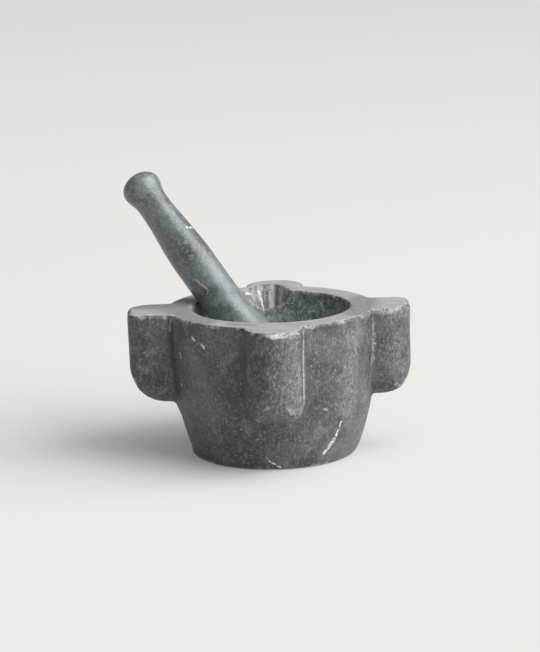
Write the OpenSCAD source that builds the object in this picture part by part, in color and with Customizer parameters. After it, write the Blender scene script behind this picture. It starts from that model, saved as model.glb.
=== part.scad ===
// A mortar and pestle, each carved from one block of grey stone.
// The mortar stands on its flat foot, with the origin at the middle of the foot and +Z up.
// Its four lugs point along -Y (front), +X (right), +Y (rear, with the spout) and -X (left).
// The pestle leans in the bowl: its head sits on the bowl's floor and its shaft rests on the mouth's edge.

/* [Mortar] */
// Height from the base to the rim
mortar_h = 107; // [89:1:129]
// Outside radius of the foot
foot_r = 61; // [52:1:66]
// Radius of the point that the outside wall's curve bends towards
shoulder_r = 76; // [72:1:84]
// Height of the point that the outside wall's curve bends towards
shoulder_h = 31; // [25:1:55]
// Outside radius at the rim
rim_r = 76; // [72:1:84]
// Rounding of the rim's outer edge and of the lugs' top edges
top_edge_r = 3; // [1:0.5:4]
// Rounding of the foot's edge
foot_edge_r = 2; // [1:0.5:4]

/* [Bowl] */
// Radius of the mouth
mouth_r = 57; // [54:0.5:61]
// Radius of the bowl's round floor
bowl_r = 55.5; // [48:0.5:57]
// Thickness of the stone below the middle of the bowl
floor_t = 29; // [20:1:40]
// Rounding of the mouth's edge
mouth_edge_r = 2; // [1:0.5:4]

/* [Lugs] */
// Distance from the axis to the end of the front lug
front_reach = 95; // [88:1:110]
// Distance from the axis to the end of the right lug
right_reach = 101; // [88:1:112]
// Distance from the axis to the end of the rear lug
rear_reach = 99; // [88:1:110]
// Distance from the axis to the end of the left lug
left_reach = 105; // [88:1:115]
// Width of each lug
lug_w = 43; // [36:1:50]
// Height of the front and rear lugs' undersides above the base
front_bottom = 38; // [25:1:55]
// Height of the right lug's underside above the base
right_bottom = 41; // [25:1:55]
// Height of the left lug's underside above the base
left_bottom = 40; // [25:1:55]
// Rounding of the front and rear lugs' upright edges and undersides
front_round_r = 21; // [8:1:24]
// Rounding of the left and right lugs' upright edges and undersides
side_round_r = 17; // [8:1:24]
// Rounding of the right lug's underside, seen from its side
right_sole_r = 24; // [8:1:28]
// Rounding of the left lug's underside, seen from its side
left_sole_r = 30; // [8:1:34]

/* [Spout] */
// Radius of the channel cut into the rear lug
spout_r = 15.5; // [8:0.5:17]
// Distance from the axis to the channel's outer end, at the rim
spout_reach = 83; // [72:1:86]
// Tilt of the channel away from upright
spout_tilt = 62; // [50:1:68]

/* [Pestle] */
// Length from the head's tip to the knob's top
pestle_l = 207; // [180:1:240]
// Radius of the head
head_r = 24; // [20:0.5:28]
// Length of the head below the flare
head_l = 36; // [30:1:40]
// Length of the flare between the head and the shaft
flare_l = 48; // [35:1:52]
// Radius of the shaft where it rests on the mouth
shaft_r = 15.2; // [12:0.2:18]
// Length of the shaft's even stretch
shaft_l = 44; // [35:1:60]
// Radius of the neck below the knob
neck_r = 12; // [9:0.5:13]
// Radius of the knob
knob_r = 14.5; // [13.5:0.5:18]
// Distance from the neck to the knob's top
knob_l = 24; // [20:1:30]
// Height of the knob's domed end
dome_h = 11; // [6:1:14]

/* [Rest] */
// Angle between the resting pestle and the upright
pestle_lean = 38.3; // [32:0.1:46]
// Direction that the pestle leans towards, from +X
lean_azimuth = 155; // [120:1:240]
// Gap between the resting pestle and the stone that it touches
seat_gap = 0.3; // [0.1:0.1:0.5]

/* [Hidden] */
$fn = 96;
wall_steps = 16;
arc_steps = 8;
bowl_steps = 20;
ease_steps = 12;
mortar_colour = [0.33, 0.34, 0.35];
pestle_colour = [0.38, 0.41, 0.43];

// Lugs start here, inside the bowl's space, which is cut from them afterwards
lug_root_r = mouth_r / 2;
// Cuts run this far past the rim, so that no skin is left
cut_over = 20;
// Lengths of the spout's cut along its slope, below the rim into the bowl's space and above the rim
spout_low = 45;
spout_high = spout_r * tan(spout_tilt) + 5;

// Points on a circle's arc, from angle a to angle b
function arc(centre, r, a, b, steps) =
    [for (i = [0 : steps]) centre + r * [cos(a + (b - a) * i / steps), sin(a + (b - a) * i / steps)]];

// Points on the curve that starts at a, bends towards b and ends at c
function bend(a, b, c, steps) =
    [for (i = [0 : steps]) let (t = i / steps) (1 - t) * (1 - t) * a + 2 * t * (1 - t) * b + t * t * c];

// Points on an S curve from a to b, which leaves and arrives along the pestle's axis
function ease(a, b, steps) =
    [for (i = [1 : steps]) let (t = i / steps) [a.x + (b.x - a.x) * (1 - cos(180 * t)) / 2, a.y + (b.y - a.y) * t]];

// Centres of the bowl's round floor and of the mouth's rounded edge, in section: [outwards, up]
bowl_centre = [0, floor_t + bowl_r];
mouth_edge = [mouth_r + mouth_edge_r, mortar_h - mouth_edge_r];

// The pestle's outline, from the head's tip to the knob's top: [radius, distance from the tip]
flare_end = head_l + flare_l;
neck_at = pestle_l - knob_l;
dome_at = pestle_l - dome_h;
pestle_outline = concat(
    [for (p = arc([0, head_r], head_r, -90, 0, bowl_steps)) [abs(p.x), p.y]],
    [[head_r, head_l]],
    ease([head_r, head_l], [shaft_r, flare_end], ease_steps),
    [[shaft_r, flare_end + shaft_l]],
    ease([shaft_r, flare_end + shaft_l], [neck_r, neck_at], ease_steps),
    ease([neck_r, neck_at], [knob_r, dome_at], ease_steps),
    [for (i = [1 : arc_steps]) let (a = 90 * i / arc_steps) [knob_r * cos(a), dome_at + dome_h * sin(a)]]
);

// Distance from point p to the line from a to b
function line_gap(p, a, b) =
    let (t = max(0, min(1, (p - a) * (b - a) / ((b - a) * (b - a))))) norm(p - a - t * (b - a));

// Distance from point p, beside the pestle, to its outline: negative when p is inside the pestle
function pestle_gap(p) =
    let (gap = min([for (i = [1 : len(pestle_outline) - 1]) line_gap(p, pestle_outline[i - 1], pestle_outline[i])]))
    p.x < lookup(p.y, [for (q = pestle_outline) [q.y, q.x]]) ? -gap : gap;

// The head's centre, in the upright plane that the pestle leans in, when it has rolled up the bowl by an angle
function head_centre(roll) = bowl_centre + (bowl_r - head_r - seat_gap) * [sin(roll), -cos(roll)];

// The mouth's edge as the pestle sees it: [distance from its axis, distance along it from the tip]
function edge_from_pestle(roll) =
    let (v = mouth_edge - head_centre(roll))
    [v * [cos(pestle_lean), -sin(pestle_lean)], v * [sin(pestle_lean), cos(pestle_lean)] + head_r];

// The angle at which the leaning shaft comes to rest on the mouth's edge, found by halving
function settle(low, high, steps) =
    let (roll = (low + high) / 2)
    steps == 0 ? roll
    : pestle_gap(edge_from_pestle(roll)) > mouth_edge_r + seat_gap ? settle(roll, high, steps - 1)
    : settle(low, roll, steps - 1);

head_at = head_centre(settle(-60, 60, 30));

// The mortar's body in section, to the right of the axis, before the bowl is cut
module body_section() {
    foot_edge = [foot_r - foot_edge_r, foot_edge_r];
    rim_edge = [rim_r - top_edge_r, mortar_h - top_edge_r];
    wall_start = foot_edge + foot_edge_r * [cos(30), -sin(30)];
    polygon(concat(
        [[0, mortar_h], [0, 0]],
        arc(foot_edge, foot_edge_r, -90, -40, arc_steps),
        bend(wall_start, [shoulder_r, shoulder_h], [rim_r, rim_edge.y], wall_steps),
        arc(rim_edge, top_edge_r, 10, 90, arc_steps)
    ));
}

// The bowl's space, which widens round the mouth's edge and runs up past the rim
module bowl_space() {
    rotate_extrude()
        polygon(concat(
            [[0, mortar_h + cut_over]],
            [for (p = arc(bowl_centre, bowl_r, -90, 0, bowl_steps)) [abs(p.x), p.y]],
            arc(mouth_edge, mouth_edge_r, 180, 90, arc_steps),
            [[mouth_edge.x, mortar_h + cut_over]]
        ));
}

// A flat panel centred on the Y axis, from y0 to y1, with its lower and upper corners rounded
module panel(w, y0, y1, low_r, high_r) {
    low_x = w / 2 - low_r;
    high_x = w / 2 - high_r;
    polygon(concat(
        arc([low_x, y0 + low_r], low_r, -90, 0, arc_steps),
        arc([high_x, y1 - high_r], high_r, 0, 90, arc_steps),
        arc([-high_x, y1 - high_r], high_r, 90, 180, arc_steps),
        arc([-low_x, y0 + low_r], low_r, 180, 270, arc_steps)
    ));
}

// One lug along +X: the block that its plan, its side view and its end view share
module lug(reach, bottom, round_r, sole_r) {
    r = min(round_r, lug_w / 2 - 0.5);
    intersection() {
        linear_extrude(mortar_h)
            rotate(-90)
                panel(lug_w, -reach, reach, r, r);
        rotate([90, 0, 0])
            linear_extrude(lug_w, center = true)
                panel(2 * reach, bottom, mortar_h, sole_r, top_edge_r);
        translate([lug_root_r, 0, 0])
            rotate([90, 0, 90])
                linear_extrude(reach - lug_root_r)
                    panel(lug_w, bottom, mortar_h, r, top_edge_r);
    }
}

// The channel in the rear lug, which slopes down into the bowl
module spout_cut() {
    translate([spout_reach - spout_r / cos(spout_tilt), 0, mortar_h])
        rotate([0, spout_tilt, 0])
            translate([0, 0, -spout_low])
                cylinder(h = spout_low + spout_high, r = spout_r);
}

module mortar() {
    color(mortar_colour)
        difference() {
            union() {
                rotate_extrude()
                    body_section();
                rotate(-90)
                    lug(front_reach, front_bottom, front_round_r, front_round_r);
                lug(right_reach, right_bottom, side_round_r, right_sole_r);
                rotate(90)
                    lug(rear_reach, front_bottom, front_round_r, front_round_r);
                rotate(180)
                    lug(left_reach, left_bottom, side_round_r, left_sole_r);
            }
            bowl_space();
            rotate(90)
                spout_cut();
        }
}

module pestle() {
    color(pestle_colour)
        rotate(lean_azimuth)
            translate([head_at.x, 0, head_at.y])
                rotate([0, pestle_lean, 0])
                    translate([0, 0, -head_r])
                        rotate_extrude()
                            polygon(pestle_outline);
}

mortar();
pestle();
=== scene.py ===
import math

import bmesh
import bpy
import numpy as np
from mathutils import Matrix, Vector


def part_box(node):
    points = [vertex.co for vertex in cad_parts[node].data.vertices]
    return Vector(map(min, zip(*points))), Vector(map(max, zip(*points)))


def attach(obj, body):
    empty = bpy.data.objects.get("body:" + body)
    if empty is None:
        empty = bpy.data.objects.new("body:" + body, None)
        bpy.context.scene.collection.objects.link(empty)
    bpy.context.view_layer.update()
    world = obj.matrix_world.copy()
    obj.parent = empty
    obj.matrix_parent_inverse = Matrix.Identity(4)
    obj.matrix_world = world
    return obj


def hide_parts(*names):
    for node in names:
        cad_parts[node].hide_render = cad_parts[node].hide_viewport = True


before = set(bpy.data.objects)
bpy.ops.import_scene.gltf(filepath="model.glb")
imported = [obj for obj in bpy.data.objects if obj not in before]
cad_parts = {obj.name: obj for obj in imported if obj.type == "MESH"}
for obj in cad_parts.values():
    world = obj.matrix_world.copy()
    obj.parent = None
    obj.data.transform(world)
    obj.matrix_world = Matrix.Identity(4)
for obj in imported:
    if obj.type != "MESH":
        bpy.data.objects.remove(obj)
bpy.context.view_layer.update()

bl_info = {
    "name": "Stone mortar and pestle",
    "version": (1, 0, 0),
    "blender": (4, 5, 0),
    "location": "View3D > Sidebar > Mortar",
    "description": "Models a four-lugged stone mortar and its pestle, with their stone and a studio stage",
    "category": "Add Mesh",
}

MM = 0.001
MORTAR_LOW, MORTAR_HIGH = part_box("mortar")
PESTLE_LOW, PESTLE_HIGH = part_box("pestle")

# Each lug: its name, its reach, the height of its underside at the wall and at the toe, the roundings
# of its plan corners and of its soles on the -Y and the +Y side of a lug along +X, of its toe and of its
# top edge, how far its toe leans in, and where it points in degrees from +X. Lengths are in millimetres.
LUGS = [
    ("lug_front", -MORTAR_LOW.y / MM, (38, 38), (20.5, 19), (21, 20), 21, 3.5, 0.0, -90 + 1.1),
    ("lug_right", MORTAR_HIGH.x / MM, (41, 44), (21, 10), (18, 14), 22, 3.5, 0.0, 2.0),
    ("lug_rear", MORTAR_HIGH.y / MM, (38, 38), (20.5, 20.5), (21, 21), 21, 3.0, 0.0, 90 - 2.0),
    ("lug_left", -MORTAR_LOW.x / MM, (40, 41), (21, 11), (18, 16), 29, 4.5, 2.2, 180 + 2.6),
]
# The lugs' blocks start this far outside the mouth
LUG_ROOT = 4 * MM
# The lugs stand a hair above the rim at first, so that the cut at the rim crosses every side
HAIR = 0.05 * MM
# Blocks that are cut or shared run this far past the stone
OVERCUT = 5 * MM
# The channel's middle line, from the axis
SPOUT_X = -1.5 * MM
# Lengths of the channel's cut along its slope: past the rim, and down into the bowl
SPOUT_UP = 12 * MM
SPOUT_DOWN = 44 * MM
# Rounds of rubbing: all over, in the grooves beside the lugs, and round the channel
ALL_RUBS, GROOVE_RUBS, SPOUT_RUBS = 3, 10, 14
# The crisper grooves get this share of the rubbing
CRISP_GROOVE = 0.12
# Unevenness: size, depth and place of the pattern
WALL_WAVES = [(38 * MM, 0.7 * MM, 0.31), (13 * MM, 0.28 * MM, 0.17)]
PESTLE_WAVES = (30 * MM, 0.35 * MM, 0.23)
# How much flatter the wall is low down on the left
LEFT_FLAT = 2.3 * MM
# Rounds of blurring that find narrow edges and broad hollows
NARROW, BROAD = 3, 10

PESTLE_GRAIN = 0.9 * MM
PESTLE_RUBS = 4
PESTLE_GLOSS = 0.75
# Poles are left as small flats, so that no ring has a zero radius
BOWL_POLE = 1 * MM
PESTLE_POLE = 0.8 * MM
HEAD_R = 24 * MM
# The head's lowest, foremost and rightmost points are on its round end, so they give its centre
HEAD_CENTRE = Vector((PESTLE_HIGH.x - HEAD_R, PESTLE_LOW.y + HEAD_R, PESTLE_LOW.z + HEAD_R))


def length(name, description, millimetres):
    """A size that a user can change, kept in metres."""
    return bpy.props.FloatProperty(
        name=name, description=description, default=millimetres * MM, unit="LENGTH", precision=4, min=0.0
    )


def shade(name, description, grey):
    """A stone colour that a user can change."""
    return bpy.props.FloatVectorProperty(
        name=name, description=description, default=grey, subtype="COLOR", size=3, min=0.0, max=1.0
    )


class MortarSettings(bpy.types.PropertyGroup):
    """Sizes of the mortar."""

    height: length("Height", "From the base to the rim", MORTAR_HIGH.z / MM)
    foot_r: length("Foot radius", "Outside radius of the foot", 61)
    foot_edge: length("Foot edge", "Rounding of the foot's edge", 2)
    shoulder_r: length("Shoulder radius", "Radius that the wall's curve bends towards", 76)
    shoulder_h: length("Shoulder height", "Height that the wall's curve bends towards", 31)
    rim_r: length("Rim radius", "Outside radius at the rim", 76)
    mouth_r: length("Mouth radius", "Inside radius at the rim", 57)
    bowl_r: length("Bowl radius", "Radius of the bowl's round floor", 55.5)
    floor_t: length("Floor", "Stone below the middle of the bowl", 29)
    lug_w: length("Lug width", "Width of each lug", 43)
    spout_r: length("Spout radius", "Radius of the pouring channel", 15.5)
    spout_reach: length("Spout reach", "From the axis to the channel's outer end", 83)
    spout_tilt: bpy.props.FloatProperty(
        name="Spout tilt",
        description="Tilt of the channel from upright",
        default=math.radians(62),
        subtype="ANGLE",
    )
    grain: length("Mesh size", "Size of the finished surface's faces", 1.25)


class PestleSettings(bpy.types.PropertyGroup):
    """Sizes of the pestle, from the head's tip along its axis."""

    total: length("Length", "From the head's tip to the knob's top", 207)
    head_l: length("Head length", "Length of the head below the flare", 36)
    flare_l: length("Flare length", "Length of the flare between the head and the shaft", 48)
    shaft_r: length("Shaft radius", "Radius of the shaft where it rests on the mouth", 15.2)
    shaft_l: length("Shaft length", "Length of the shaft's even stretch", 44)
    neck_r: length("Neck radius", "Radius of the neck below the knob", 12)
    knob_r: length("Knob radius", "Radius of the knob", 14.5)
    knob_l: length("Knob length", "From the neck to the knob's top", 24)
    dome_h: length("Dome", "Height of the knob's domed end", 11)
    lean: bpy.props.FloatProperty(
        name="Lean", description="Angle from upright", default=math.radians(38.3), subtype="ANGLE"
    )
    azimuth: bpy.props.FloatProperty(
        name="Azimuth", description="Direction of the lean, from +X", default=math.radians(155), subtype="ANGLE"
    )


class StoneSettings(bpy.types.PropertyGroup):
    """Colours of the stone."""

    dark: shade("Dark", "Darkest cloud of the mortar's stone", (0.04, 0.041, 0.042))
    mid: shade("Middle", "Middle tone of the mortar's stone", (0.095, 0.098, 0.10))
    pale: shade("Pale", "Cool pale mottling of the mortar's stone", (0.195, 0.218, 0.23))
    pale_warm: shade("Pale warm", "Warm pale mottling of the mortar's stone", (0.185, 0.192, 0.186))
    dust: shade("Dust", "Ground stone left on flat tops and edges", (0.46, 0.455, 0.44))
    dust_dark: shade("Dust dark", "Darker lines in the ground top", (0.315, 0.315, 0.31))
    # Pale colour of rubbed patches and lines, also used for painted highlights
    chalk_and_highlights: shade("Chalk", "Pale rubbed patches and lines", (0.50, 0.505, 0.50))
    # The bowl's colours are paler than its stone, to stand in for the light inside the bowl: painted light
    bowl_dark: shade("Bowl dark", "Dark clouds inside the bowl", (0.14, 0.165, 0.175))
    bowl: shade("Bowl", "Worn stone inside the bowl", (0.36, 0.42, 0.435))
    bowl_pale: shade("Bowl pale", "Pale mottling inside the bowl", (0.64, 0.70, 0.72))
    vein: shade("Vein", "White veins and flecks", (0.72, 0.74, 0.74))
    pestle_dark: shade("Pestle dark", "Dark clouds of the pestle", (0.045, 0.053, 0.06))
    pestle_mid: shade("Pestle middle", "Middle tone of the pestle", (0.084, 0.1, 0.111))
    pestle_pale: shade("Pestle pale", "Pale clouds of the pestle", (0.26, 0.30, 0.314))


# --- Shaping tools -----------------------------------------------------------------------------


def bend(start, control, end, steps):
    """Points on the curve that leaves start towards control and ends at end."""
    points = []
    for i in range(steps + 1):
        t = i / steps
        points.append(
            tuple((1 - t) ** 2 * a + 2 * t * (1 - t) * b + t * t * c for a, b, c in zip(start, control, end))
        )
    return points


def ease(start, end, steps):
    """Points on an S curve between two (radius, height) points, after the first."""
    points = []
    for i in range(1, steps + 1):
        t = i / steps
        s = (1 - math.cos(math.pi * t)) / 2
        points.append((start[0] + (end[0] - start[0]) * s, start[1] + (end[1] - start[1]) * t))
    return points


def round_end(radius, height, low, high, steps, centre=(0.0, 0.0)):
    """Points on an ellipse's arc from angle low to angle high, in degrees."""
    points = []
    for i in range(steps + 1):
        a = math.radians(low + (high - low) * i / steps)
        points.append((centre[0] + radius * math.cos(a), centre[1] + height * math.sin(a)))
    return points


def in_metres(values):
    """Millimetres as metres."""
    return tuple(value * MM for value in values)


def deselect():
    """Nothing selected, in object mode."""
    bpy.ops.object.select_all(action="DESELECT")


def named(name):
    """Names the object that an operator has just added, and hands it back."""
    piece = bpy.context.active_object
    piece.name = name
    piece.data.name = name
    return piece


def apply_modifier(piece, kind, **values):
    """Adds a modifier with these values and applies it."""
    deselect()
    piece.select_set(True)
    bpy.context.view_layer.objects.active = piece
    modifier = piece.modifiers.new(kind.lower(), kind)
    for key, value in values.items():
        setattr(modifier, key, value)
    bpy.ops.object.modifier_apply(modifier=modifier.name)


def turned(name, outline, sides=96):
    """A closed solid turned round the Z axis, extruded ring by ring up its (radius, height) outline."""
    deselect()
    radius, height = outline[0]
    bpy.ops.mesh.primitive_circle_add(vertices=sides, radius=radius, fill_type="NGON", location=(0, 0, height))
    piece = named(name)
    bpy.ops.object.transform_apply(location=True, rotation=True, scale=True)
    bpy.ops.object.mode_set(mode="EDIT")
    bpy.ops.mesh.select_all(action="SELECT")
    for next_radius, next_height in outline[1:]:
        bpy.ops.mesh.extrude_region_move(TRANSFORM_OT_translate={"value": (0, 0, next_height - height)})
        k = next_radius / radius
        bpy.ops.transform.resize(value=(k, k, 1), center_override=(0, 0, next_height))
        radius, height = next_radius, next_height
    bpy.ops.mesh.select_all(action="SELECT")
    bpy.ops.mesh.normals_make_consistent(inside=False)
    bpy.ops.object.mode_set(mode="OBJECT")
    return piece


def slab(name, corners, roundings, thickness):
    """A flat block: four corners in order round its outline, each rounded, extruded by a vector."""
    tolerance = 0.01 * MM
    deselect()
    bpy.ops.mesh.primitive_plane_add(size=2)
    piece = named(name)
    for vertex, corner in zip((0, 1, 3, 2), corners):
        piece.data.vertices[vertex].co = corner
    bpy.ops.object.mode_set(mode="EDIT")
    bpy.ops.mesh.select_mode(type="VERT")
    for corner, rounding in zip(corners, roundings):
        if rounding:
            mesh = bmesh.from_edit_mesh(piece.data)
            for vertex in mesh.verts:
                vertex.select = (vertex.co - Vector(corner)).length < tolerance
            mesh.select_flush_mode()
            bmesh.update_edit_mesh(piece.data)
            bpy.ops.mesh.bevel(offset=rounding, segments=12, affect="VERTICES")
    bpy.ops.mesh.select_all(action="SELECT")
    bpy.ops.mesh.extrude_region_move(TRANSFORM_OT_translate={"value": thickness})
    bpy.ops.mesh.select_all(action="SELECT")
    bpy.ops.mesh.normals_make_consistent(inside=False)
    bpy.ops.object.mode_set(mode="OBJECT")
    return piece


def merged(piece, other, operation):
    """Joins or cuts piece by other, which is used up."""
    apply_modifier(piece, "BOOLEAN", operation=operation, object=other, solver="MANIFOLD")
    bpy.data.objects.remove(other)


def coordinates(mesh):
    """The mesh's vertices as an array."""
    co = np.empty(len(mesh.vertices) * 3, np.float64)
    mesh.vertices.foreach_get("co", co)
    return co.reshape(-1, 3)


def normals(mesh):
    """The mesh's vertex normals as an array."""
    no = np.empty(len(mesh.vertices) * 3, np.float32)
    mesh.vertices.foreach_get("normal", no)
    return no.reshape(-1, 3).astype(np.float64)


def ramp(values, low, high):
    """0 at low, 1 at high, smooth between."""
    t = np.clip((values - low) / (high - low), 0, 1)
    return t * t * (3 - 2 * t)


def weight_group(piece, name, weights):
    """A vertex group with these weights, in a few steps."""
    levels = 16
    group = piece.vertex_groups.new(name=name)
    steps = np.round(np.clip(weights, 0, 1) * levels).astype(int)
    for step in range(1, levels + 1):
        members = np.nonzero(steps == step)[0].tolist()
        if members:
            group.add(members, step / levels, "REPLACE")


def smooth(piece, weights, rounds, factor=0.5):
    """Rubs the surface down where the weights say."""
    weight_group(piece, "rub", weights)
    apply_modifier(piece, "SMOOTH", factor=factor, iterations=rounds, vertex_group="rub")
    piece.vertex_groups.clear()


def dent(piece, texture_size, depth, weights, seed):
    """Hand-made unevenness: moves the surface along its normals by a cloud pattern."""
    clouds = bpy.data.textures.new("clouds", "CLOUDS")
    clouds.noise_scale = texture_size
    clouds.noise_depth = 1
    anchor = bpy.data.objects.new("cloud_anchor", None)
    anchor.location = (seed, 2 * seed, -seed)
    bpy.context.scene.collection.objects.link(anchor)
    bpy.context.view_layer.update()
    weight_group(piece, "dent", weights)
    apply_modifier(
        piece, "DISPLACE", texture=clouds, texture_coords="OBJECT", texture_coords_object=anchor,
        strength=2 * depth, mid_level=0.5, vertex_group="dent",
    )
    piece.vertex_groups.clear()
    bpy.data.objects.remove(anchor)
    bpy.data.textures.remove(clouds)


def store(piece, name, values):
    """Keeps a mask on the surface for the stone's nodes to read."""
    attribute = piece.data.attributes.new(name, "FLOAT", "POINT")
    attribute.data.foreach_set("value", np.clip(values, 0, 1).astype(np.float32))


def kept_inside(piece, low, high):
    """Moves the points that stand outside a box onto its sides."""
    co = np.clip(coordinates(piece.data), np.array(low), np.array(high))
    piece.data.vertices.foreach_set("co", co.ravel())
    piece.data.update()


def near_lines(co, marks):
    """How far inside broad marks each point is. Each mark is start, end and width in millimetres."""
    total = np.zeros(len(co))
    for start, end, width in marks:
        start, end = np.array(start) * MM, np.array(end) * MM
        along = end - start
        share = np.clip((co - start) @ along / (along @ along), 0, 1)
        gap = np.linalg.norm(co - start - share[:, None] * along, axis=1)
        total = np.maximum(total, ramp(gap, 0.6 * width * MM, 0.2 * width * MM))
    return total


def on_surface(piece, marks):
    """The marks with their ends moved to the piece's nearest points."""
    co = coordinates(piece.data)

    def nearest(place):
        gaps = np.linalg.norm(co - in_metres(place), axis=1)
        return tuple(co[gaps.argmin()] / MM)

    return [(nearest(start), nearest(end), width) for start, end, width in marks]


def crest(mesh, rounds):
    """How far each point stands proud of its neighbours: above 0 on edges, below 0 in hollows."""
    co, no = coordinates(mesh), normals(mesh)
    edges = np.empty(len(mesh.edges) * 2, np.int64)
    mesh.edges.foreach_get("vertices", edges)
    a, b = edges.reshape(-1, 2).T
    count = np.bincount(a, minlength=len(co)) + np.bincount(b, minlength=len(co))

    def mean_of_neighbours(values):
        total = np.zeros_like(values)
        np.add.at(total, a, values[b])
        np.add.at(total, b, values[a])
        return total / count.reshape((-1,) + (1,) * (values.ndim - 1))

    blurred = co
    for _ in range(rounds):
        blurred = mean_of_neighbours(blurred)
    return ((co - blurred) * no).sum(axis=1) / MM


def finish_piece(piece, body, node, material):
    """Gives the piece its stone and hands it to the frame."""
    piece.data.materials.clear()
    piece.data.materials.append(material)
    for polygon in piece.data.polygons:
        polygon.use_smooth = True
    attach(piece, body)
    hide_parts(node)


# --- Mortar ------------------------------------------------------------------------------------


def lug(settings, name, reach, under, corners, soles, toe, crest_r, lean_in, turn):
    """One lug, as LUGS describes it: the block that its plan, side view and end view share."""
    under, corners, soles = in_metres(under), in_metres(corners), in_metres(soles)
    reach, toe, crest_r, lean_in = in_metres((reach, toe, crest_r, lean_in))
    half = settings.lug_w / 2
    root = settings.mouth_r + LUG_ROOT
    top = settings.height + HAIR
    low, high = min(under) - OVERCUT, top + OVERCUT
    plan = slab(
        name,
        [(root, -half, low), (reach, -half, low), (reach, half, low), (root, half, low)],
        [0, corners[0], corners[1], 0],
        (0, 0, high - low),
    )
    side = slab(
        "lug_side",
        [(root, -half, under[0]), (reach - lean_in, -half, under[1]), (reach, -half, top), (root, -half, top)],
        [0, toe, crest_r, 0],
        (0, 2 * half, 0),
    )
    floor = min(under)
    end = slab(
        "lug_end",
        [(root, -half, floor), (root, half, floor), (root, half, top), (root, -half, top)],
        [soles[0], soles[1], crest_r / 2, crest_r / 2],
        (reach - root, 0, 0),
    )
    merged(plan, side, "INTERSECT")
    merged(plan, end, "INTERSECT")
    bpy.ops.transform.rotate(value=-math.radians(turn), orient_axis="Z", center_override=(0, 0, 0))
    bpy.ops.object.transform_apply(location=True, rotation=True, scale=True)
    return plan


def spout_cutter(settings):
    """The pouring channel's space: a round bar sloping down from the rear lug into the bowl."""
    s = settings
    tilt = s.spout_tilt
    up = s.spout_r * math.tan(tilt) + SPOUT_UP
    deselect()
    bpy.ops.mesh.primitive_cylinder_add(
        vertices=64, radius=s.spout_r, depth=up + SPOUT_DOWN, location=(0, 0, (up - SPOUT_DOWN) / 2)
    )
    piece = named("spout_cutter")
    bpy.ops.object.transform_apply(location=True, rotation=True, scale=True)
    bpy.ops.transform.rotate(value=tilt, orient_axis="X", center_override=(0, 0, 0))
    bpy.ops.transform.translate(value=(SPOUT_X, s.spout_reach - s.spout_r / math.cos(tilt), s.height))
    bpy.ops.object.transform_apply(location=True, rotation=True, scale=True)
    return piece


def block_above(height):
    """A block that takes away all above this height."""
    width, tall = 0.4, 0.2
    deselect()
    bpy.ops.mesh.primitive_cube_add(size=1, location=(0, 0, height + tall / 2), scale=(width, width, tall))
    piece = named("rim_cutter")
    bpy.ops.object.transform_apply(location=True, rotation=True, scale=True)
    return piece


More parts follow.
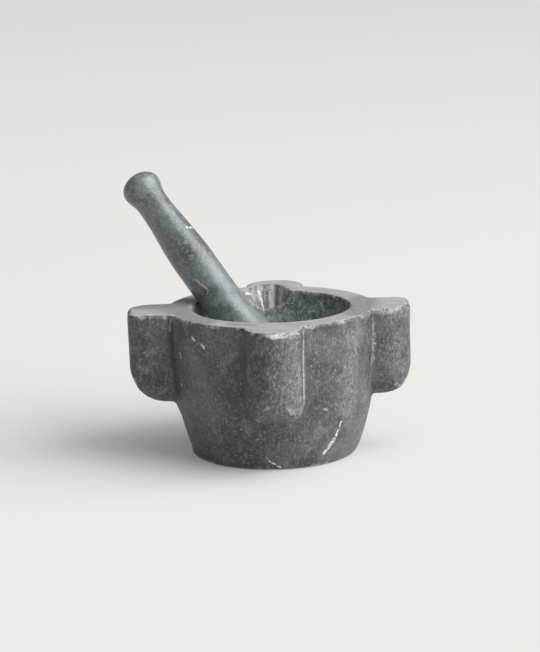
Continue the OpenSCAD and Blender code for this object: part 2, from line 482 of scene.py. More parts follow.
class MORTAR_OT_carve_mortar(bpy.types.Operator):
    """Carve the mortar: turned body, four lugs, bowl and pouring channel, rubbed down as one block"""

    bl_idname = "mortar.carve_mortar"
    bl_label = "Carve mortar"
    bl_options = {"REGISTER", "UNDO"}

    def execute(self, context):
        s = context.scene.mortar_settings
        edge = s.foot_edge
        wall = bend((s.foot_r - 0.2 * edge, 0.6 * edge), (s.shoulder_r, s.shoulder_h), (s.rim_r, s.height), 14)
        body = turned("mortar_stone_block", [(s.foot_r - edge, 0.0), *wall, (s.rim_r, s.height + 2 * OVERCUT)])
        for lug_sizes in LUGS:
            merged(body, lug(s, *lug_sizes), "UNION")
        bowl_z = s.floor_t + s.bowl_r
        floor = [(max(r, BOWL_POLE), z) for r, z in round_end(s.bowl_r, s.bowl_r, -90, 0, 24, (0, bowl_z))]
        mouth = [(s.mouth_r, s.height), (s.mouth_r, s.height + 6 * OVERCUT)]
        merged(body, turned("bowl_cutter", [*floor, *mouth]), "DIFFERENCE")
        merged(body, spout_cutter(s), "DIFFERENCE")
        merged(body, block_above(s.height), "DIFFERENCE")
        apply_modifier(body, "REMESH", mode="VOXEL", voxel_size=s.grain)
        body.name = body.data.name = "mortar_block"
        self.rub_down(body, s)
        self.keep_masks(body, s)
        finish_piece(body, "mortar", "mortar", mortar_stone(body))
        return {"FINISHED"}

    def rub_down(self, body, s):
        """Softens the grooves beside the lugs and the edges, and leaves the surface slightly uneven."""
        co = coordinates(body.data)
        radius = np.hypot(co[:, 0], co[:, 1])
        smooth(body, np.ones(len(co)), ALL_RUBS)
        below = 1 - ramp(co[:, 2], s.height - 3 * MM, s.height)
        outside = ramp(radius, s.mouth_r + 4 * MM, s.mouth_r + 8 * MM)
        groove = ramp(radius, 64 * MM, 68 * MM) * (1 - ramp(radius, 80 * MM, 84 * MM)) * outside
        # The groove on the front lug's left is rubbed soft, and the others stay crisper
        soft_side = (1 - ramp(co[:, 0], -16 * MM, -12 * MM)) * (1 - ramp(co[:, 1], -58 * MM, -50 * MM))
        smooth(body, groove * below * (CRISP_GROOVE + (1 - CRISP_GROOVE) * soft_side), GROOVE_RUBS)

        co = coordinates(body.data)
        around_spout = ramp(co[:, 1], 48 * MM, 54 * MM)
        around_spout *= 1 - ramp(np.abs(co[:, 0] + 12 * MM), 8 * MM, 14 * MM)
        smooth(body, around_spout, SPOUT_RUBS)

        co = coordinates(body.data)
        radius = np.hypot(co[:, 0], co[:, 1])
        below = 1 - ramp(co[:, 2], s.height - 4 * MM, s.height - 1 * MM)
        above = ramp(co[:, 2], 0.5 * MM, 3 * MM)
        outside = ramp(radius, s.mouth_r + 2 * MM, s.mouth_r + 8 * MM)
        for size, depth, seed in WALL_WAVES:
            dent(body, size, depth, outside * below * above, seed)

        co = coordinates(body.data)
        # The wall is a little flatter low down on the left
        flatter = ramp(-co[:, 0], 15 * MM, 55 * MM) * ramp(co[:, 2], -2 * MM, 7 * MM)
        flatter *= 1 - ramp(co[:, 2], 27 * MM, 42 * MM)
        co[:, 0] += LEFT_FLAT * flatter * ramp(np.hypot(co[:, 0], co[:, 1]), 50 * MM, 58 * MM)
        body.data.vertices.foreach_set("co", co.ravel())
        kept_inside(body, MORTAR_LOW, MORTAR_HIGH)

    def keep_masks(self, body, s):
        """Keeps where the top, bowl, channel, worn edges and hollows are, the hollows for painted shade, with
        the broad patches of pale stone and painted light, of painted shade, and the darker tops.
        """
        co, no = coordinates(body.data), normals(body.data)
        radius = np.hypot(co[:, 0], co[:, 1])
        top = ramp(co[:, 2], s.height - 0.8 * MM, s.height - 0.15 * MM) * ramp(no[:, 2], 0.9, 0.985)
        bowl = (1 - ramp(radius, s.mouth_r - 1.5 * MM, s.mouth_r + 1 * MM)) * ramp(co[:, 2], 20 * MM, 26 * MM)
        spout = ramp(co[:, 1], 54 * MM, 60 * MM) * (1 - ramp(np.abs(co[:, 0] - SPOUT_X), 15 * MM, 18 * MM))
        spout *= ramp(co[:, 2], 88 * MM, 91 * MM) * (1 - top) * (1 - ramp(co[:, 1], 84 * MM, 87 * MM))
        edges, hollows = crest(body.data, NARROW), crest(body.data, BROAD)
        store(body, "top", top)
        store(body, "bowl", bowl * (1 - spout))
        store(body, "spout", spout)
        store(body, "worn", ramp(edges, 0.05, 0.2))
        # Broad hollows and creases, where the colour is darkened: painted shade
        store(body, "hollow_shade", ramp(-hollows, 0.05, 0.5))
        store(body, "pale_stone_and_light", near_lines(co, PALE_STONE_AND_LIGHT_PATCHES))
        store(body, "painted_shade_patches", near_lines(co, PAINTED_SHADE_PATCHES))
        store(body, "darker_tops", near_lines(co, DARKER_TOPS))


# --- Pestle ------------------------------------------------------------------------------------


class MORTAR_OT_turn_pestle(bpy.types.Operator):
    """Turn the pestle: round head, flare, shaft, neck and knob, and lean it in the bowl"""

    bl_idname = "mortar.turn_pestle"
    bl_label = "Turn pestle"
    bl_options = {"REGISTER", "UNDO"}

    def execute(self, context):
        s = context.scene.pestle_settings
        flare_end = s.head_l + s.flare_l
        neck_at = s.total - s.knob_l
        dome_at = s.total - s.dome_h
        head = [(max(r, PESTLE_POLE), z) for r, z in round_end(HEAD_R, HEAD_R, -90, 0, 20, (0, HEAD_R))]
        shaft = [(s.shaft_r, flare_end + s.shaft_l * i / 16) for i in range(1, 17)]
        dome = [(max(r, PESTLE_POLE), z) for r, z in round_end(s.knob_r, s.dome_h, 0, 90, 9, (0, dome_at))]
        outline = [
            *head, (HEAD_R, s.head_l), *ease((HEAD_R, s.head_l), (s.shaft_r, flare_end), 18), *shaft,
            *ease((s.shaft_r, flare_end + s.shaft_l), (s.neck_r, neck_at), 18),
            *ease((s.neck_r, neck_at), (s.knob_r, dome_at), 8), *dome[1:],
        ]
        pestle = turned("pestle_stone_bar", outline, 80)
        apply_modifier(pestle, "REMESH", mode="VOXEL", voxel_size=PESTLE_GRAIN)
        co = coordinates(pestle.data)
        smooth(pestle, np.ones(len(co)), PESTLE_RUBS)
        # The head and the flare, which touch the mortar, stay true
        size, depth, seed = PESTLE_WAVES
        dent(pestle, size, depth, ramp(co[:, 2], 60 * MM, 110 * MM), seed)
        store(pestle, "worn", ramp(crest(pestle.data, NARROW), 0.05, 0.16))
        # The flare mask pales the head and flare, for dust and a painted highlight, the knob, and a band high
        # on the shaft as a painted highlight
        knob = 0.6 * ramp(co[:, 2], s.total - s.knob_l, s.total - s.dome_h)
        painted_highlight_band = 0.4 * ramp(co[:, 2], 140 * MM, 165 * MM)
        store(pestle, "flare", 1 - ramp(co[:, 2], 92 * MM, 150 * MM) + np.maximum(knob, painted_highlight_band))
        deselect()
        pestle.select_set(True)
        context.view_layer.objects.active = pestle
        bpy.ops.transform.translate(value=(0, 0, -HEAD_R))
        bpy.ops.object.transform_apply(location=True, rotation=True, scale=True)
        bpy.ops.transform.rotate(value=-s.lean, orient_axis="Y", center_override=(0, 0, 0))
        bpy.ops.object.transform_apply(location=True, rotation=True, scale=True)
        bpy.ops.transform.rotate(value=-s.azimuth, orient_axis="Z", center_override=(0, 0, 0))
        bpy.ops.transform.translate(value=HEAD_CENTRE)
        bpy.ops.object.transform_apply(location=True, rotation=True, scale=True)
        # Where facets catch the light, for painted highlights
        store(pestle, "facet_highlights", near_lines(coordinates(pestle.data), PESTLE_FACET_HIGHLIGHTS))
        kept_inside(pestle, PESTLE_LOW, PESTLE_HIGH)
        pestle.name = pestle.data.name = "pestle_bar"
        finish_piece(pestle, "pestle", "pestle", pestle_stone())
        return {"FINISHED"}


# --- Stone -------------------------------------------------------------------------------------


def add_node(tree, kind, sockets, **settings):
    """A node with these settings, its sockets joined or set."""
    node = tree.nodes.new(kind)
    for key, value in settings.items():
        setattr(node, key, value)
    for key, value in sockets.items():
        if isinstance(value, bpy.types.NodeSocket):
            tree.links.new(value, node.inputs[key])
        else:
            node.inputs[key].default_value = value
    return node


class Stone:
    """A stone's material, with short ways to add and join its nodes. Sizes are in millimetres."""

    def __init__(self, name):
        self.material = bpy.data.materials.new(name)
        self.material.use_nodes = True
        self.tree = self.material.node_tree
        self.shader = self.tree.nodes["Principled BSDF"]
        self.place = self.add("ShaderNodeTexCoord", {}).outputs["Object"]

    def add(self, kind, sockets, **settings):
        """A node of this material."""
        return add_node(self.tree, kind, sockets, **settings)

    def math(self, operation, a, b=0.0):
        """Arithmetic on two values."""
        return self.add("ShaderNodeMath", {0: a, 1: b}, operation=operation).outputs[0]

    def both(self, *masks):
        """Masks multiplied together."""
        result = masks[0]
        for mask in masks[1:]:
            result = self.math("MULTIPLY", result, mask)
        return result

    def outside(self, mask):
        """The rest of a mask."""
        return self.math("SUBTRACT", 1.0, mask)

    def mapped(self, size, turn=(0, 0, 0), shift=0.0):
        """Object coordinates, in steps of size: one number, or one for each axis."""
        sizes = size if isinstance(size, tuple) else (size, size, size)
        sockets = {
            "Vector": self.place,
            "Scale": [1 / (step * MM) for step in sizes],
            "Location": (shift, 2 * shift, 3 * shift),
            "Rotation": turn,
        }
        return self.add("ShaderNodeMapping", sockets).outputs[0]

    def noise(self, size, detail=3.0, roughness=0.55, shift=0.0, distortion=0.0, turn=(0, 0, 0)):
        """Cloudy noise of this size."""
        sockets = {
            "Vector": self.mapped(size, turn, shift),
            "Scale": 1.0,
            "Detail": detail,
            "Roughness": roughness,
            "Distortion": distortion,
        }
        return self.add("ShaderNodeTexNoise", sockets).outputs[0]

    def band(self, value, low, high):
        """0 at low and 1 at high, smooth between."""
        sockets = {"Value": value, "From Min": low, "From Max": high}
        return self.add("ShaderNodeMapRange", sockets, interpolation_type="SMOOTHSTEP").outputs[0]

    def specks(self, cell, radius, share, shift=0.0):
        """Scattered round specks, one in some cells of this size."""
        cells = self.add("ShaderNodeTexVoronoi", {"Vector": self.mapped(cell, shift=shift), "Scale": 1.0})
        dot = self.band(cells.outputs["Distance"], radius / cell, 0.4 * radius / cell)
        lot = self.add("ShaderNodeSeparateColor", {0: cells.outputs["Color"]}).outputs[0]
        return self.both(dot, self.band(lot, share, share - 0.02))

    def cracks(self, cell):
        """Hair-thin wandering lines between cells of this size."""
        sockets = {"Vector": self.mapped(cell), "Scale": 1.0, "Detail": 3.0}
        waver = self.add("ShaderNodeTexNoise", sockets).outputs[1]
        waver = self.add("ShaderNodeVectorMath", {0: waver, "Scale": 0.6}, operation="SCALE").outputs[0]
        place = self.add("ShaderNodeVectorMath", {0: waver, 1: self.mapped(cell)}, operation="ADD").outputs[0]
        lines = self.add(
            "ShaderNodeTexVoronoi", {"Vector": place, "Scale": 1.0}, feature="DISTANCE_TO_EDGE"
        ).outputs["Distance"]
        return self.band(lines, 0.7 / cell, 0.2 / cell)

    def mask(self, name):
        """A mask kept on the piece."""
        return self.add("ShaderNodeAttribute", {}, attribute_name=name).outputs["Fac"]

    def blend(self, mask, a, b):
        """Colour a, and b where the mask is."""
        a, b = ((*c, 1.0) if not isinstance(c, bpy.types.NodeSocket) else c for c in (a, b))
        return self.add("ShaderNodeMix", {0: mask, 6: a, 7: b}, data_type="RGBA").outputs[2]

    def over(self, colour, mask, strength, tint):
        """A colour with a tint laid over it where the mask is."""
        return self.blend(self.both(mask, strength), colour, tint)

    def layers(self, colour, *rows):
        """A colour with patterns laid over it. Each row is pattern, low, high, strength and tint."""
        for pattern, low, high, strength, tint in rows:
            colour = self.over(colour, self.band(pattern, low, high), strength, tint)
        return colour

    def total(self, first, *rows):
        """The sum of rows, each the product of its values."""
        result = self.both(*first)
        for row in rows:
            result = self.math("ADD", result, self.both(*row))
        return result

    def shaded(self, colour, amount):
        """A colour made darker or lighter by a value round 1."""
        grey = self.add("ShaderNodeCombineColor", {0: amount, 1: amount, 2: amount}).outputs[0]
        return self.add(
            "ShaderNodeMix", {0: 1.0, 6: colour, 7: grey}, data_type="RGBA", blend_type="MULTIPLY"
        ).outputs[2]

    def streaks(self, marks, ragged=1.0):
        """A mask of ragged lines. Each mark is start, end and width."""
        total = None
        for start, end, width in marks:
            sockets = {
                "Start": in_metres(start),
                "End": in_metres(end),
                "Width": width * MM,
                "Ragged": ragged * MM,
                "Place": self.place,
            }
            line = self.add("ShaderNodeGroup", sockets, node_tree=streak_group()).outputs[0]
            total = line if total is None else self.math("MAXIMUM", total, line)
        return total

    def finish(self, colour, roughness, height):
        """Joins the colour, the roughness and the relief, in millimetres, to the shader."""
        relief = self.add("ShaderNodeBump", {"Strength": 1.0, "Distance": MM, "Height": height})
        for socket, value in (("Base Color", colour), ("Roughness", roughness), ("Normal", relief.outputs[0])):
            self.tree.links.new(value, self.shader.inputs[socket])
        return self.material


def streak_group():
    """A node group: how far inside a ragged line from Start to End a place is."""
    tree = bpy.data.node_groups.get("Streak")
    if tree:
        return tree
    tree = bpy.data.node_groups.new("Streak", "ShaderNodeTree")
    for name, kind in (
        ("Place", "NodeSocketVector"), ("Start", "NodeSocketVector"), ("End", "NodeSocketVector"),
        ("Width", "NodeSocketFloat"), ("Ragged", "NodeSocketFloat"),
    ):
        tree.interface.new_socket(name, in_out="INPUT", socket_type=kind)
    tree.interface.new_socket("Mask", in_out="OUTPUT", socket_type="NodeSocketFloat")
    inlet = tree.nodes.new("NodeGroupInput").outputs
    outlet = tree.nodes.new("NodeGroupOutput").inputs

    def add(kind, sockets, **settings):
        return add_node(tree, kind, sockets, **settings)

    def vector(operation, a, b=(0, 0, 0), out=0):
        return add("ShaderNodeVectorMath", {0: a, 1: b}, operation=operation).outputs[out]

    def scaled(a, factor):
        return add("ShaderNodeVectorMath", {0: a, "Scale": factor}, operation="SCALE").outputs[0]

    waver = add("ShaderNodeTexNoise", {"Vector": inlet["Place"], "Scale": 260.0, "Detail": 2.0}).outputs[1]
    waver = scaled(vector("SUBTRACT", waver, (0.5, 0.5, 0.5)), 4.0)
    place = vector("ADD", inlet["Place"], scaled(waver, inlet["Ragged"]))
    along = vector("SUBTRACT", inlet["End"], inlet["Start"])
    offset = vector("SUBTRACT", place, inlet["Start"])
    share = add(
        "ShaderNodeMath",
        {0: vector("DOT_PRODUCT", offset, along, 1), 1: vector("DOT_PRODUCT", along, along, 1)},
        operation="DIVIDE", use_clamp=True,
    ).outputs[0]
    gap = vector("LENGTH", vector("SUBTRACT", offset, scaled(along, share)), out=1)
    mask = add(
        "ShaderNodeMapRange",
        {"Value": add("ShaderNodeMath", {0: gap, 1: inlet["Width"]}, operation="DIVIDE").outputs[0],
         "From Min": 0.6, "From Max": 0.25},
        interpolation_type="SMOOTHSTEP",
    ).outputs[0]
    patches = add("ShaderNodeTexNoise", {"Vector": inlet["Place"], "Scale": 700.0, "Detail": 3.0}).outputs[0]
    patches = add("ShaderNodeMapRange", {"Value": patches, "From Min": 0.36, "From Max": 0.52}).outputs[0]
    product = add("ShaderNodeMath", {0: mask, 1: patches}, operation="MULTIPLY").outputs[0]
    tree.links.new(product, outlet["Mask"])
    return tree


def mortar_stone(piece):
    """Dark grey marble: brushed walls, ground pale top, worn bowl and channel, white veins and dusty edges,
    with painted light and shade: paler patches and highlights where light falls, shade in hollows, creases and
    under the lugs, and a bowl coloured paler for the light inside it.
    """
    s = bpy.context.scene.stone_settings
    stone = Stone("mortar_stone")
    top, bowl, spout = stone.mask("top"), stone.mask("bowl"), stone.mask("spout")
    worn, hollow_shade = stone.mask("worn"), stone.mask("hollow_shade")
    wall = stone.both(stone.outside(top), stone.outside(bowl), stone.outside(spout))

    clouds = stone.noise(34, 5.0, 0.62, distortion=0.3)
    tint = stone.noise(30, 3.0, 0.55, shift=15.5)
    patches = stone.noise(11, 5.0, 0.7, shift=3.1, distortion=0.5)
    mottle = stone.noise(2.2, 3.0, 0.72, shift=7.7)
    flakes = stone.noise((1.6, 1.6, 2.6), 3.0, 0.7, shift=17.9, distortion=0.4)
    grain = stone.noise(0.8, 2.0, 0.6, shift=1.3)
    brushed = stone.noise((1.7, 1.7, 13), 4.0, 0.66, shift=4.2, distortion=0.7)
    ground = stone.noise((18, 1.6, 4), 4.0, 0.7, shift=5.4, distortion=0.4)

    pale = stone.blend(stone.band(tint, 0.42, 0.58), s.pale, s.pale_warm)
    walls = stone.blend(stone.band(clouds, 0.36, 0.62), s.dark, s.mid)
    walls = stone.layers(walls, (patches, 0.46, 0.72, 0.6, pale), (patches, 0.44, 0.3, 0.45, s.dark))
    # Paler flecked patches on the walls that face the light: the stone's paler tint and painted light
    pale_flecks_and_light = stone.both(stone.mask("pale_stone_and_light"), stone.band(flakes, 0.38, 0.6))
    walls = stone.over(walls, pale_flecks_and_light, 0.75, pale)
    # Darker patches on the walls away from the light and under the right lug: painted shade
    walls = stone.over(walls, stone.mask("painted_shade_patches"), 0.4, s.dark)
    walls = stone.layers(
        walls,
        (mottle, 0.51, 0.68, 0.62, pale),
        (mottle, 0.47, 0.33, 0.6, s.dark),
        (flakes, 0.58, 0.7, 0.42, s.chalk_and_highlights),
        (flakes, 0.4, 0.3, 0.5, s.dark),
    )
    strokes = stone.band(stone.noise(20, 2.0, 0.5, shift=12.6), 0.4, 0.62)
    walls = stone.over(walls, stone.both(stone.band(brushed, 0.55, 0.8), strokes), 0.5, s.chalk_and_highlights)
    walls = stone.layers(walls, (brushed, 0.44, 0.25, 0.4, s.dark))
    walls = stone.over(walls, stone.specks(3.6, 0.42, 0.14), 0.35, s.vein)
    walls = stone.over(walls, stone.specks(8.0, 0.7, 0.25, 2.0), 0.5, s.vein)

    tops = stone.blend(stone.band(ground, 0.36, 0.58), s.dust_dark, s.dust)
    tops = stone.layers(tops, (clouds, 0.5, 0.34, 0.5, s.dust_dark))
    # Darker patches on the ground top
    tops = stone.over(tops, stone.mask("darker_tops"), 0.8, s.pale)
    tops = stone.layers(
        tops,
        (mottle, 0.52, 0.66, 0.5, s.chalk_and_highlights),
        (mottle, 0.46, 0.33, 0.45, s.pale),
        (flakes, 0.42, 0.3, 0.35, s.pale),
    )
    tops = stone.over(tops, stone.specks(5.5, 0.5, 0.2, 4.0), 0.4, s.vein)

    # The bowl, coloured paler to make up for light inside it: painted light on worn stone
    bowls = stone.blend(stone.band(patches, 0.36, 0.66), s.bowl_dark, s.bowl)
    bowls = stone.layers(bowls, (mottle, 0.5, 0.62, 0.75, s.bowl_pale), (flakes, 0.46, 0.34, 0.7, s.dark))
    bowls = stone.over(bowls, stone.specks(3.2, 0.5, 0.3, 6.0), 0.55, s.vein)

    runs = stone.noise((3.4, 30, 30), 3.0, 0.55, shift=8.8)
    spouts = stone.blend(stone.band(runs, 0.40, 0.60), s.mid, s.dust_dark)
    spouts = stone.layers(spouts, (mottle, 0.48, 0.74, 0.5, s.dust))
    # Dark grooves and right wall of the channel: tool marks and painted shade
    spouts = stone.over(spouts, stone.streaks(SPOUT_GROOVES_AND_SHADE, 0.7), 0.7, s.dark)
    # Pale ridges of the channel: tool marks and painted highlights
    spouts = stone.over(spouts, stone.streaks(SPOUT_RIDGES_AND_HIGHLIGHTS, 0.7), 0.85, s.chalk_and_highlights)

    colour = stone.blend(top, walls, tops)
    colour = stone.blend(bowl, colour, bowls)
    colour = stone.blend(spout, colour, spouts)

    dusty = stone.both(worn, stone.band(stone.noise(6, 4.0, 0.65, shift=9.1), 0.46, 0.64))
    colour = stone.over(colour, dusty, 0.45, s.bowl_pale)
    # Darker colour in the walls' broad hollows: painted shade
    colour = stone.over(colour, stone.both(hollow_shade, wall), 0.5, s.dark)

    veins = stone.streaks(on_surface(piece, VEINS), 0.7)
    # Pale lines beside the front lug: tool lines and painted highlights
    flutes_and_highlights = stone.streaks(FLUTE_LINES_AND_HIGHLIGHTS, 0.4)
    # Rubbed edges and pale lines, and painted highlights in the lugs' inner corners
    chalk_and_highlights = stone.streaks(CHALK_AND_HIGHLIGHTS, 1.2)
    # Dark lines in the creases beside and under the lugs: painted shade, with a few pits
    shadows = stone.streaks(SHADE_AND_PIT_MARKS, 0.7)
    hairs = stone.both(stone.cracks(52), stone.band(stone.noise(17, 2.0, 0.5, shift=21.0), 0.53, 0.62))
    for mask, strength, tint in (
        (hairs, 0.12, s.chalk_and_highlights), (shadows, 0.75, s.dark), (chalk_and_highlights, 0.55, s.chalk_and_highlights), (flutes_and_highlights, 0.75, s.dust),
        (veins, 0.85, s.vein),
    ):
        colour = stone.over(colour, mask, strength, tint)
    colour = stone.shaded(colour, stone.math("ADD", stone.both(grain, 0.5), 0.75))

    roughness = stone.math("ADD", stone.both(mottle, 0.24), 0.36)
    roughness = stone.math("ADD", roughness, stone.both(top, 0.2))
    pits = stone.specks(3.0, 0.42, 0.16, 11.0)
    height = stone.total(
        (grain, 0.13), (mottle, 0.30), (patches, 0.35), (brushed, wall, 0.16), (ground, top, 0.12),
        (pits, -0.3), (shadows, -0.25),
    )
    return stone.finish(colour, roughness, height)


def pestle_stone():
    """Blue-grey marble, rubbed smooth by hand: soft clouds, fine grain, small nicks and a chip, with painted
    highlights on facets and high on the shaft.
    """
    s = bpy.context.scene.stone_settings
    p = bpy.context.scene.pestle_settings
    stone = Stone("pestle_stone")
    clouds = stone.noise(20, 5.0, 0.64, shift=2.2, distortion=0.3)
    mottle = stone.noise(2.2, 3.0, 0.72, shift=6.1)
    flakes = stone.noise(1.5, 3.0, 0.7, shift=13.7)
    rubbed = stone.noise((6, 6, 1.6), 3.0, 0.6, shift=9.3, turn=(0, -p.lean, -p.azimuth))
    grain = stone.noise(0.8, 2.0, 0.6, shift=4.9)
    worn, flare = stone.mask("worn"), stone.mask("flare")

    colour = stone.blend(stone.band(clouds, 0.26, 0.62), s.pestle_dark, s.pestle_mid)
    colour = stone.layers(
        colour,
        (mottle, 0.5, 0.66, 0.6, s.pestle_pale),
        (mottle, 0.47, 0.33, 0.6, s.pestle_dark),
        (flakes, 0.58, 0.7, 0.4, s.pestle_pale),
        (rubbed, 0.52, 0.78, 0.3, s.pestle_pale),
    )
    # Paler head and flare (dust and a painted highlight), a paler knob, and a painted highlight high on the
    # shaft
    colour = stone.over(colour, stone.both(flare, stone.band(clouds, 0.3, 0.62)), 0.62, s.pestle_pale)
    colour = stone.over(colour, stone.specks(3.4, 0.42, 0.25), 0.45, s.vein)
    colour = stone.over(colour, worn, 0.45, s.pestle_pale)
    chips = stone.streaks(PESTLE_CHIPS, 0.8)
    nicks = stone.streaks(PESTLE_NICKS, 0.7)
    # Pale patches on the knob's top and low on the pestle: painted highlights
    facet_highlights = stone.both(stone.mask("facet_highlights"), stone.band(mottle, 0.3, 0.6))
    colour = stone.over(colour, facet_highlights, 0.5, s.pestle_pale)
    colour = stone.over(colour, nicks, 0.5, s.pestle_dark)
    colour = stone.over(colour, stone.streaks(PESTLE_SCRATCHES, 0.4), 0.45, s.vein)
    colour = stone.over(colour, chips, 0.85, s.vein)
    colour = stone.shaded(colour, stone.math("ADD", stone.both(grain, 0.5), 0.75))

    stone.shader.inputs["Specular IOR Level"].default_value = PESTLE_GLOSS
    roughness = stone.math("ADD", stone.both(mottle, 0.24), 0.2)
    pits = stone.specks(3.0, 0.4, 0.12, 5.0)
    height = stone.total((grain, 0.07), (mottle, 0.14), (clouds, 0.3), (nicks, -0.15), (pits, -0.2))
    return stone.finish(colour, roughness, height)


# Marks on the stone. Each has its start, its end and its width, in millimetres.
# White veins, flecks and rubbed patches of the mortar, which are moved on to its surface
VEINS = [
    ((-12, 92, 107), (-9, 72, 104), 2.2),
    ((-9, 72, 104), (-7, 63, 98), 2.6),
    ((-7, 63, 98), (-5, 56, 93), 1.8),
    ((36, 44, 101), (37, 42, 99), 2.3),
    ((39, 41, 101), (37, 42, 99), 2.3),
    ((37, 42, 99), (38, 41, 95), 2.5),
    ((28, 48, 92), (32, 46, 93), 2.2),
    ((1, -95, 105), (9, -94, 105), 4.4),
    ((48, -51, 32), (43, -52, 19), 2.0),
    ((43, -52, 19), (35, -54, 10), 3.4),
    ((-5, -64, 10), (5, -61, 2), 1.6),
    ((-88, -21, 105), (-86, -22, 106), 2.4),
    ((-72, -22, 106), (-70, -24, 106), 2.2),
    ((-66, -37, 82), (-65, -39, 78), 1.6),
    ((-66, -33, 60), (-65, -35, 57), 1.4),
    ((-56, -51, 96), (-55, -52, 94), 2.0),
    ((-49, -57, 92), (-48, -58, 90), 2.4),
    ((-18, 54, 106), (-14, 61, 104), 2.6),
]
# Broad paler parts of the walls, on faces turned to the light: the stone's paler tint and painted light
PALE_STONE_AND_LIGHT_PATCHES = [
    ((10.0, -95.0, 98.0), (13.0, -92.0, 52.0), 30.0),
    ((84.0, -20.0, 100.0), (86.0, -20.0, 58.0), 26.0),
    ((58.0, -47.0, 92.0), (54.0, -50.0, 44.0), 22.0),
]
# Broad darker parts of the walls, low on the left, left of the front lug and low on the right lug: painted
# shade
PAINTED_SHADE_PATCHES = [
    ((-52.0, -40.0, 14.0), (-6.0, -66.0, 16.0), 46.0),
    ((-40.0, -56.0, 80.0), (-28.0, -64.0, 50.0), 22.0),
    ((95.0, -20.0, 56.0), (80.0, -20.0, 50.0), 20.0),
]
# The channel's pale ridges and the dark grooves between them: its tool marks, with painted highlights on the
# ridges and painted shade in the grooves and on its right wall
SPOUT_RIDGES_AND_HIGHLIGHTS = [
    ((0.5, 82.0, 106.5), (0.5, 57.5, 93.5), 3.8),
    ((9.0, 79.0, 106.0), (8.4, 60.0, 97.5), 1.8),
    ((-9.6, 78.0, 106.0), (-7.6, 62.0, 99.0), 1.5),
]
SPOUT_GROOVES_AND_SHADE = [
    ((5.4, 80.0, 106.0), (4.6, 56.0, 94.0), 5.6),
    ((13.0, 74.0, 106.0), (9.8, 56.0, 98.0), 6.5),
    ((-3.6, 81.0, 106.0), (-2.6, 57.0, 93.4), 2.4),
    ((-13.4, 72.0, 103.0), (-9.0, 57.0, 95.0), 4.2),
]
# Broad darker parts of the ground top
DARKER_TOPS = [
    ((-72.0, 4.0, 107.0), (-50.0, -46.0, 107.0), 32.0),
    ((62.0, -30.0, 107.0), (68.0, 20.0, 107.0), 26.0),
    ((-100.0, 10.0, 107.0), (-80.0, 4.0, 107.0), 22.0),
    ((-30.0, -60.0, 107.0), (-12.0, -66.0, 107.0), 7.0),
]
# Pale tool lines beside the front lug, with painted highlights along its ridges
FLUTE_LINES_AND_HIGHLIGHTS = [
    ((22.0, -82.0, 105.0), (22.0, -83.5, 92.0), 2.2),
    ((22.0, -83.5, 92.0), (21.5, -83.0, 58.0), 3.4),
    ((18.6, -88.6, 84.0), (18.2, -88.5, 70.0), 0.9),
]
# Rubbed edges and faint pale lines of the mortar, with painted highlights along the lugs' inner corners
CHALK_AND_HIGHLIGHTS = [
    ((76.8, -19.8, 106.3), (92.0, -18.0, 105.8), 6.5),
    ((80.0, -21.5, 103.0), (88.0, -20.5, 98.0), 3.6),
    ((-12.0, -95.0, 105.0), (-4.0, -95.0, 105.4), 3.0),
    ((74.8, -22.0, 101.0), (73.0, -22.0, 58.0), 4.8),
    ((21.3, -72.5, 106.2), (30.0, -69.6, 106.2), 3.4),
    ((-71.5, -26.5, 104.5), (-73.5, -24.5, 96.0), 3.0),
    ((14.0, -93.0, 50.0), (9.0, -90.5, 42.0), 2.4),
    ((53.0, -49.0, 20.0), (58.0, -42.0, 27.0), 2.2),
    ((36.0, -62.0, 44.0), (44.0, -57.0, 47.0), 1.8),
]
# Dark grooves and pits of the mortar: painted shade in the creases beside the lugs and under the front lug, and
# a few pits
SHADE_AND_PIT_MARKS = [
    ((49.5, -57.5, 70.1), (46.0, -60.0, 68.6), 3.6),
    ((47.0, -56.5, 48.6), (50.5, -53.5, 49.2), 3.2),
    ((91.5, -20.5, 78.7), (86.2, -22.0, 63.7), 2.6),
    ((-73.0, -24.8, 103.0), (-71.0, -25.2, 72.0), 4.4),
    ((-71.0, -25.2, 72.0), (-67.5, -25.6, 44.0), 3.6),
    ((71.0, -26.0, 102.0), (69.5, -26.0, 50.0), 3.4),
    ((20.6, -85.8, 100.0), (20.4, -85.6, 58.0), 1.8),
    ((23.2, -77.5, 102.0), (23.0, -77.5, 60.0), 2.0),
    ((11.0, -77.0, 37.5), (-6.0, -79.0, 37.5), 3.6),
]
# The pestle's white chip, dark nicks and pale scratches, and broad pale patches where facets catch the light:
# painted highlights
PESTLE_CHIPS = [((-59.6, 24.4, 162.3), (-56.2, 28.2, 161.1), 2.6)]
PESTLE_NICKS = [
    ((-55.0, 9.2, 122.5), (-48.5, 5.8, 116.5), 4.6),
    ((-30.0, 9.5, 130.0), (-26.0, 10.0, 128.5), 2.0),
    ((-84.0, 24.0, 182.0), (-80.0, 22.0, 180.0), 1.8),
]
PESTLE_SCRATCHES = [
    ((-57.0, 10.5, 125.0), (-54.0, 9.0, 126.0), 1.3),
    ((-54.0, 9.0, 126.0), (-45.5, 5.0, 119.0), 1.4),
    ((-45.5, 5.0, 119.0), (-46.5, 4.5, 115.0), 1.2),
    ((-70.0, 16.0, 157.0), (-62.0, 13.0, 150.0), 1.2),
]
PESTLE_FACET_HIGHLIGHTS = [
    ((-94.0, 33.0, 198.0), (-87.0, 33.0, 197.0), 12.0),
    ((-14.0, -2.0, 107.0), (-6.0, -6.0, 101.0), 15.0),
]


# --- Stage -------------------------------------------------------------------------------------


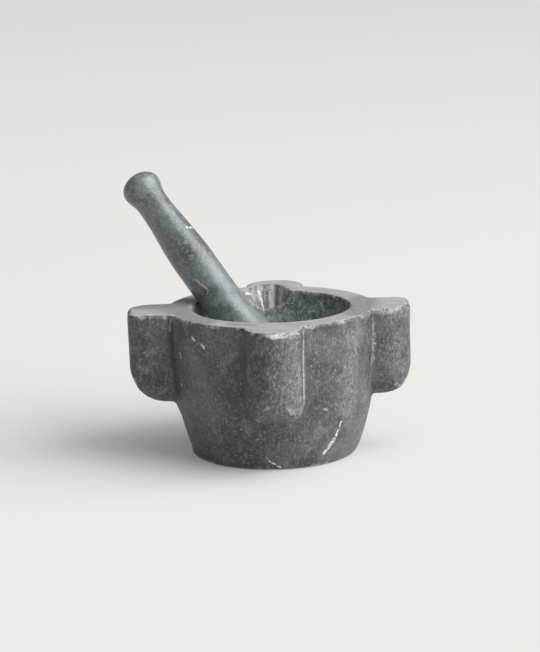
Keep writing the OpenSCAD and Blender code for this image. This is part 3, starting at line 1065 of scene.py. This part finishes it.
FLOOR_R = 12
FLOOR_COLOUR = (0.645, 0.638, 0.62, 1)
FLOOR_GLOW_COLOUR = (1.0, 0.975, 0.93, 1)
FLOOR_GLOW = 0.125
WORLD_COLOUR = (1.0, 0.99, 0.975, 1)
WORLD_STRENGTH = 0.28
LAMP_TINT = (1.0, 0.998, 0.988)
# A broad low light from the right and slightly from the front
KEY_PLACE = (0.86, -0.31, 0.46)
KEY_STRENGTH = 4.0
KEY_SPREAD = math.radians(74)
# A soft panel overhead
TOP_PLACE = (1.1, -0.15, 3.0)
TOP_WATTS = 34
TOP_SIZE = 2.4

CAMERA_ELEVATION = math.radians(12.13)
CAMERA_ROLL = math.radians(-1.3)
CAMERA_DISTANCE = 2.0
CAMERA_TARGET = Vector((-1.1 * MM, 0, 92.1 * MM))
CAMERA_LENS = 151.95


def lamp(kind, name, place, strength):
    """A light at a place, facing the axis."""
    deselect()
    bpy.ops.object.light_add(type=kind, location=place)
    light = bpy.context.active_object
    light.name = name
    light.data.name = name
    light.data.energy = strength
    light.data.color = LAMP_TINT
    light.rotation_euler = Vector(place).to_track_quat("Z", "Y").to_euler()
    return light.data


def floor_paper():
    """Plain pale paper with a faint glow, as if lit through from below, which keeps the shadows open."""
    paper = bpy.data.materials.new("floor_paper")
    paper.use_nodes = True
    inputs = paper.node_tree.nodes["Principled BSDF"].inputs
    for socket, value in (
        ("Base Color", FLOOR_COLOUR), ("Roughness", 0.9), ("Specular IOR Level", 0.1),
        ("Emission Color", FLOOR_GLOW_COLOUR), ("Emission Strength", FLOOR_GLOW),
    ):
        inputs[socket].default_value = value
    return paper


class MORTAR_OT_set_stage(bpy.types.Operator):
    """Set a pale floor, soft light and the camera round the mortar"""

    bl_idname = "mortar.set_stage"
    bl_label = "Set stage"
    bl_options = {"REGISTER", "UNDO"}

    def execute(self, context):
        deselect()
        bpy.ops.mesh.primitive_circle_add(vertices=64, radius=FLOOR_R, fill_type="NGON", location=(0, 0, 0))
        floor = named("floor")
        floor.data.materials.append(floor_paper())
        self.set_light(context)
        self.set_camera(context)
        return {"FINISHED"}

    def set_light(self, context):
        """A weak even surround, a broad low light from the right and a soft panel overhead."""
        world = bpy.data.worlds.new("studio")
        context.scene.world = world
        world.use_nodes = True
        background = world.node_tree.nodes["Background"]
        background.inputs["Color"].default_value = WORLD_COLOUR
        background.inputs["Strength"].default_value = WORLD_STRENGTH
        lamp("SUN", "key_lamp", KEY_PLACE, KEY_STRENGTH).angle = KEY_SPREAD
        lamp("AREA", "top_lamp", TOP_PLACE, TOP_WATTS).size = TOP_SIZE
        context.scene.view_settings.view_transform = "Standard"

    def set_camera(self, context):
        """A long lens two metres away, 12 degrees above level and rolled slightly."""
        back = Vector((0, -math.cos(CAMERA_ELEVATION), math.sin(CAMERA_ELEVATION)))
        data = bpy.data.cameras.new("camera")
        data.lens = CAMERA_LENS
        data.sensor_fit = "VERTICAL"
        data.sensor_height = 36
        data.clip_start = 0.05
        data.clip_end = 60
        camera = bpy.data.objects.new("camera", data)
        context.scene.collection.objects.link(camera)
        camera.location = CAMERA_TARGET + back * CAMERA_DISTANCE
        camera.rotation_euler = back.to_track_quat("Z", "Y").to_euler()
        camera.rotation_euler.rotate_axis("Z", CAMERA_ROLL)
        context.scene.camera = camera


# --- Add-on ------------------------------------------------------------------------------------


class MORTAR_PT_panel(bpy.types.Panel):
    """Buttons and sizes for the mortar and pestle."""

    bl_idname = "MORTAR_PT_panel"
    bl_label = "Mortar and pestle"
    bl_space_type = "VIEW_3D"
    bl_region_type = "UI"
    bl_category = "Mortar"

    def draw(self, context):
        for operator in OPERATORS:
            self.layout.operator(operator.bl_idname)
        for group in ("mortar_settings", "pestle_settings", "stone_settings"):
            settings = getattr(context.scene, group)
            box = self.layout.box()
            for name in settings.__annotations__:
                box.prop(settings, name)


SETTINGS = {
    "mortar_settings": MortarSettings,
    "pestle_settings": PestleSettings,
    "stone_settings": StoneSettings,
}
OPERATORS = (MORTAR_OT_set_stage, MORTAR_OT_carve_mortar, MORTAR_OT_turn_pestle)


def register():
    for name, group in SETTINGS.items():
        bpy.utils.register_class(group)
        setattr(bpy.types.Scene, name, bpy.props.PointerProperty(type=group))
    for operator in OPERATORS:
        bpy.utils.register_class(operator)
    bpy.utils.register_class(MORTAR_PT_panel)


def unregister():
    bpy.utils.unregister_class(MORTAR_PT_panel)
    for operator in reversed(OPERATORS):
        bpy.utils.unregister_class(operator)
    for name, group in SETTINGS.items():
        delattr(bpy.types.Scene, name)
        bpy.utils.unregister_class(group)


def main():
    register()
    bpy.ops.mortar.set_stage()
    bpy.ops.mortar.carve_mortar()
    bpy.ops.mortar.turn_pestle()


if __name__ == "__main__":
    main()
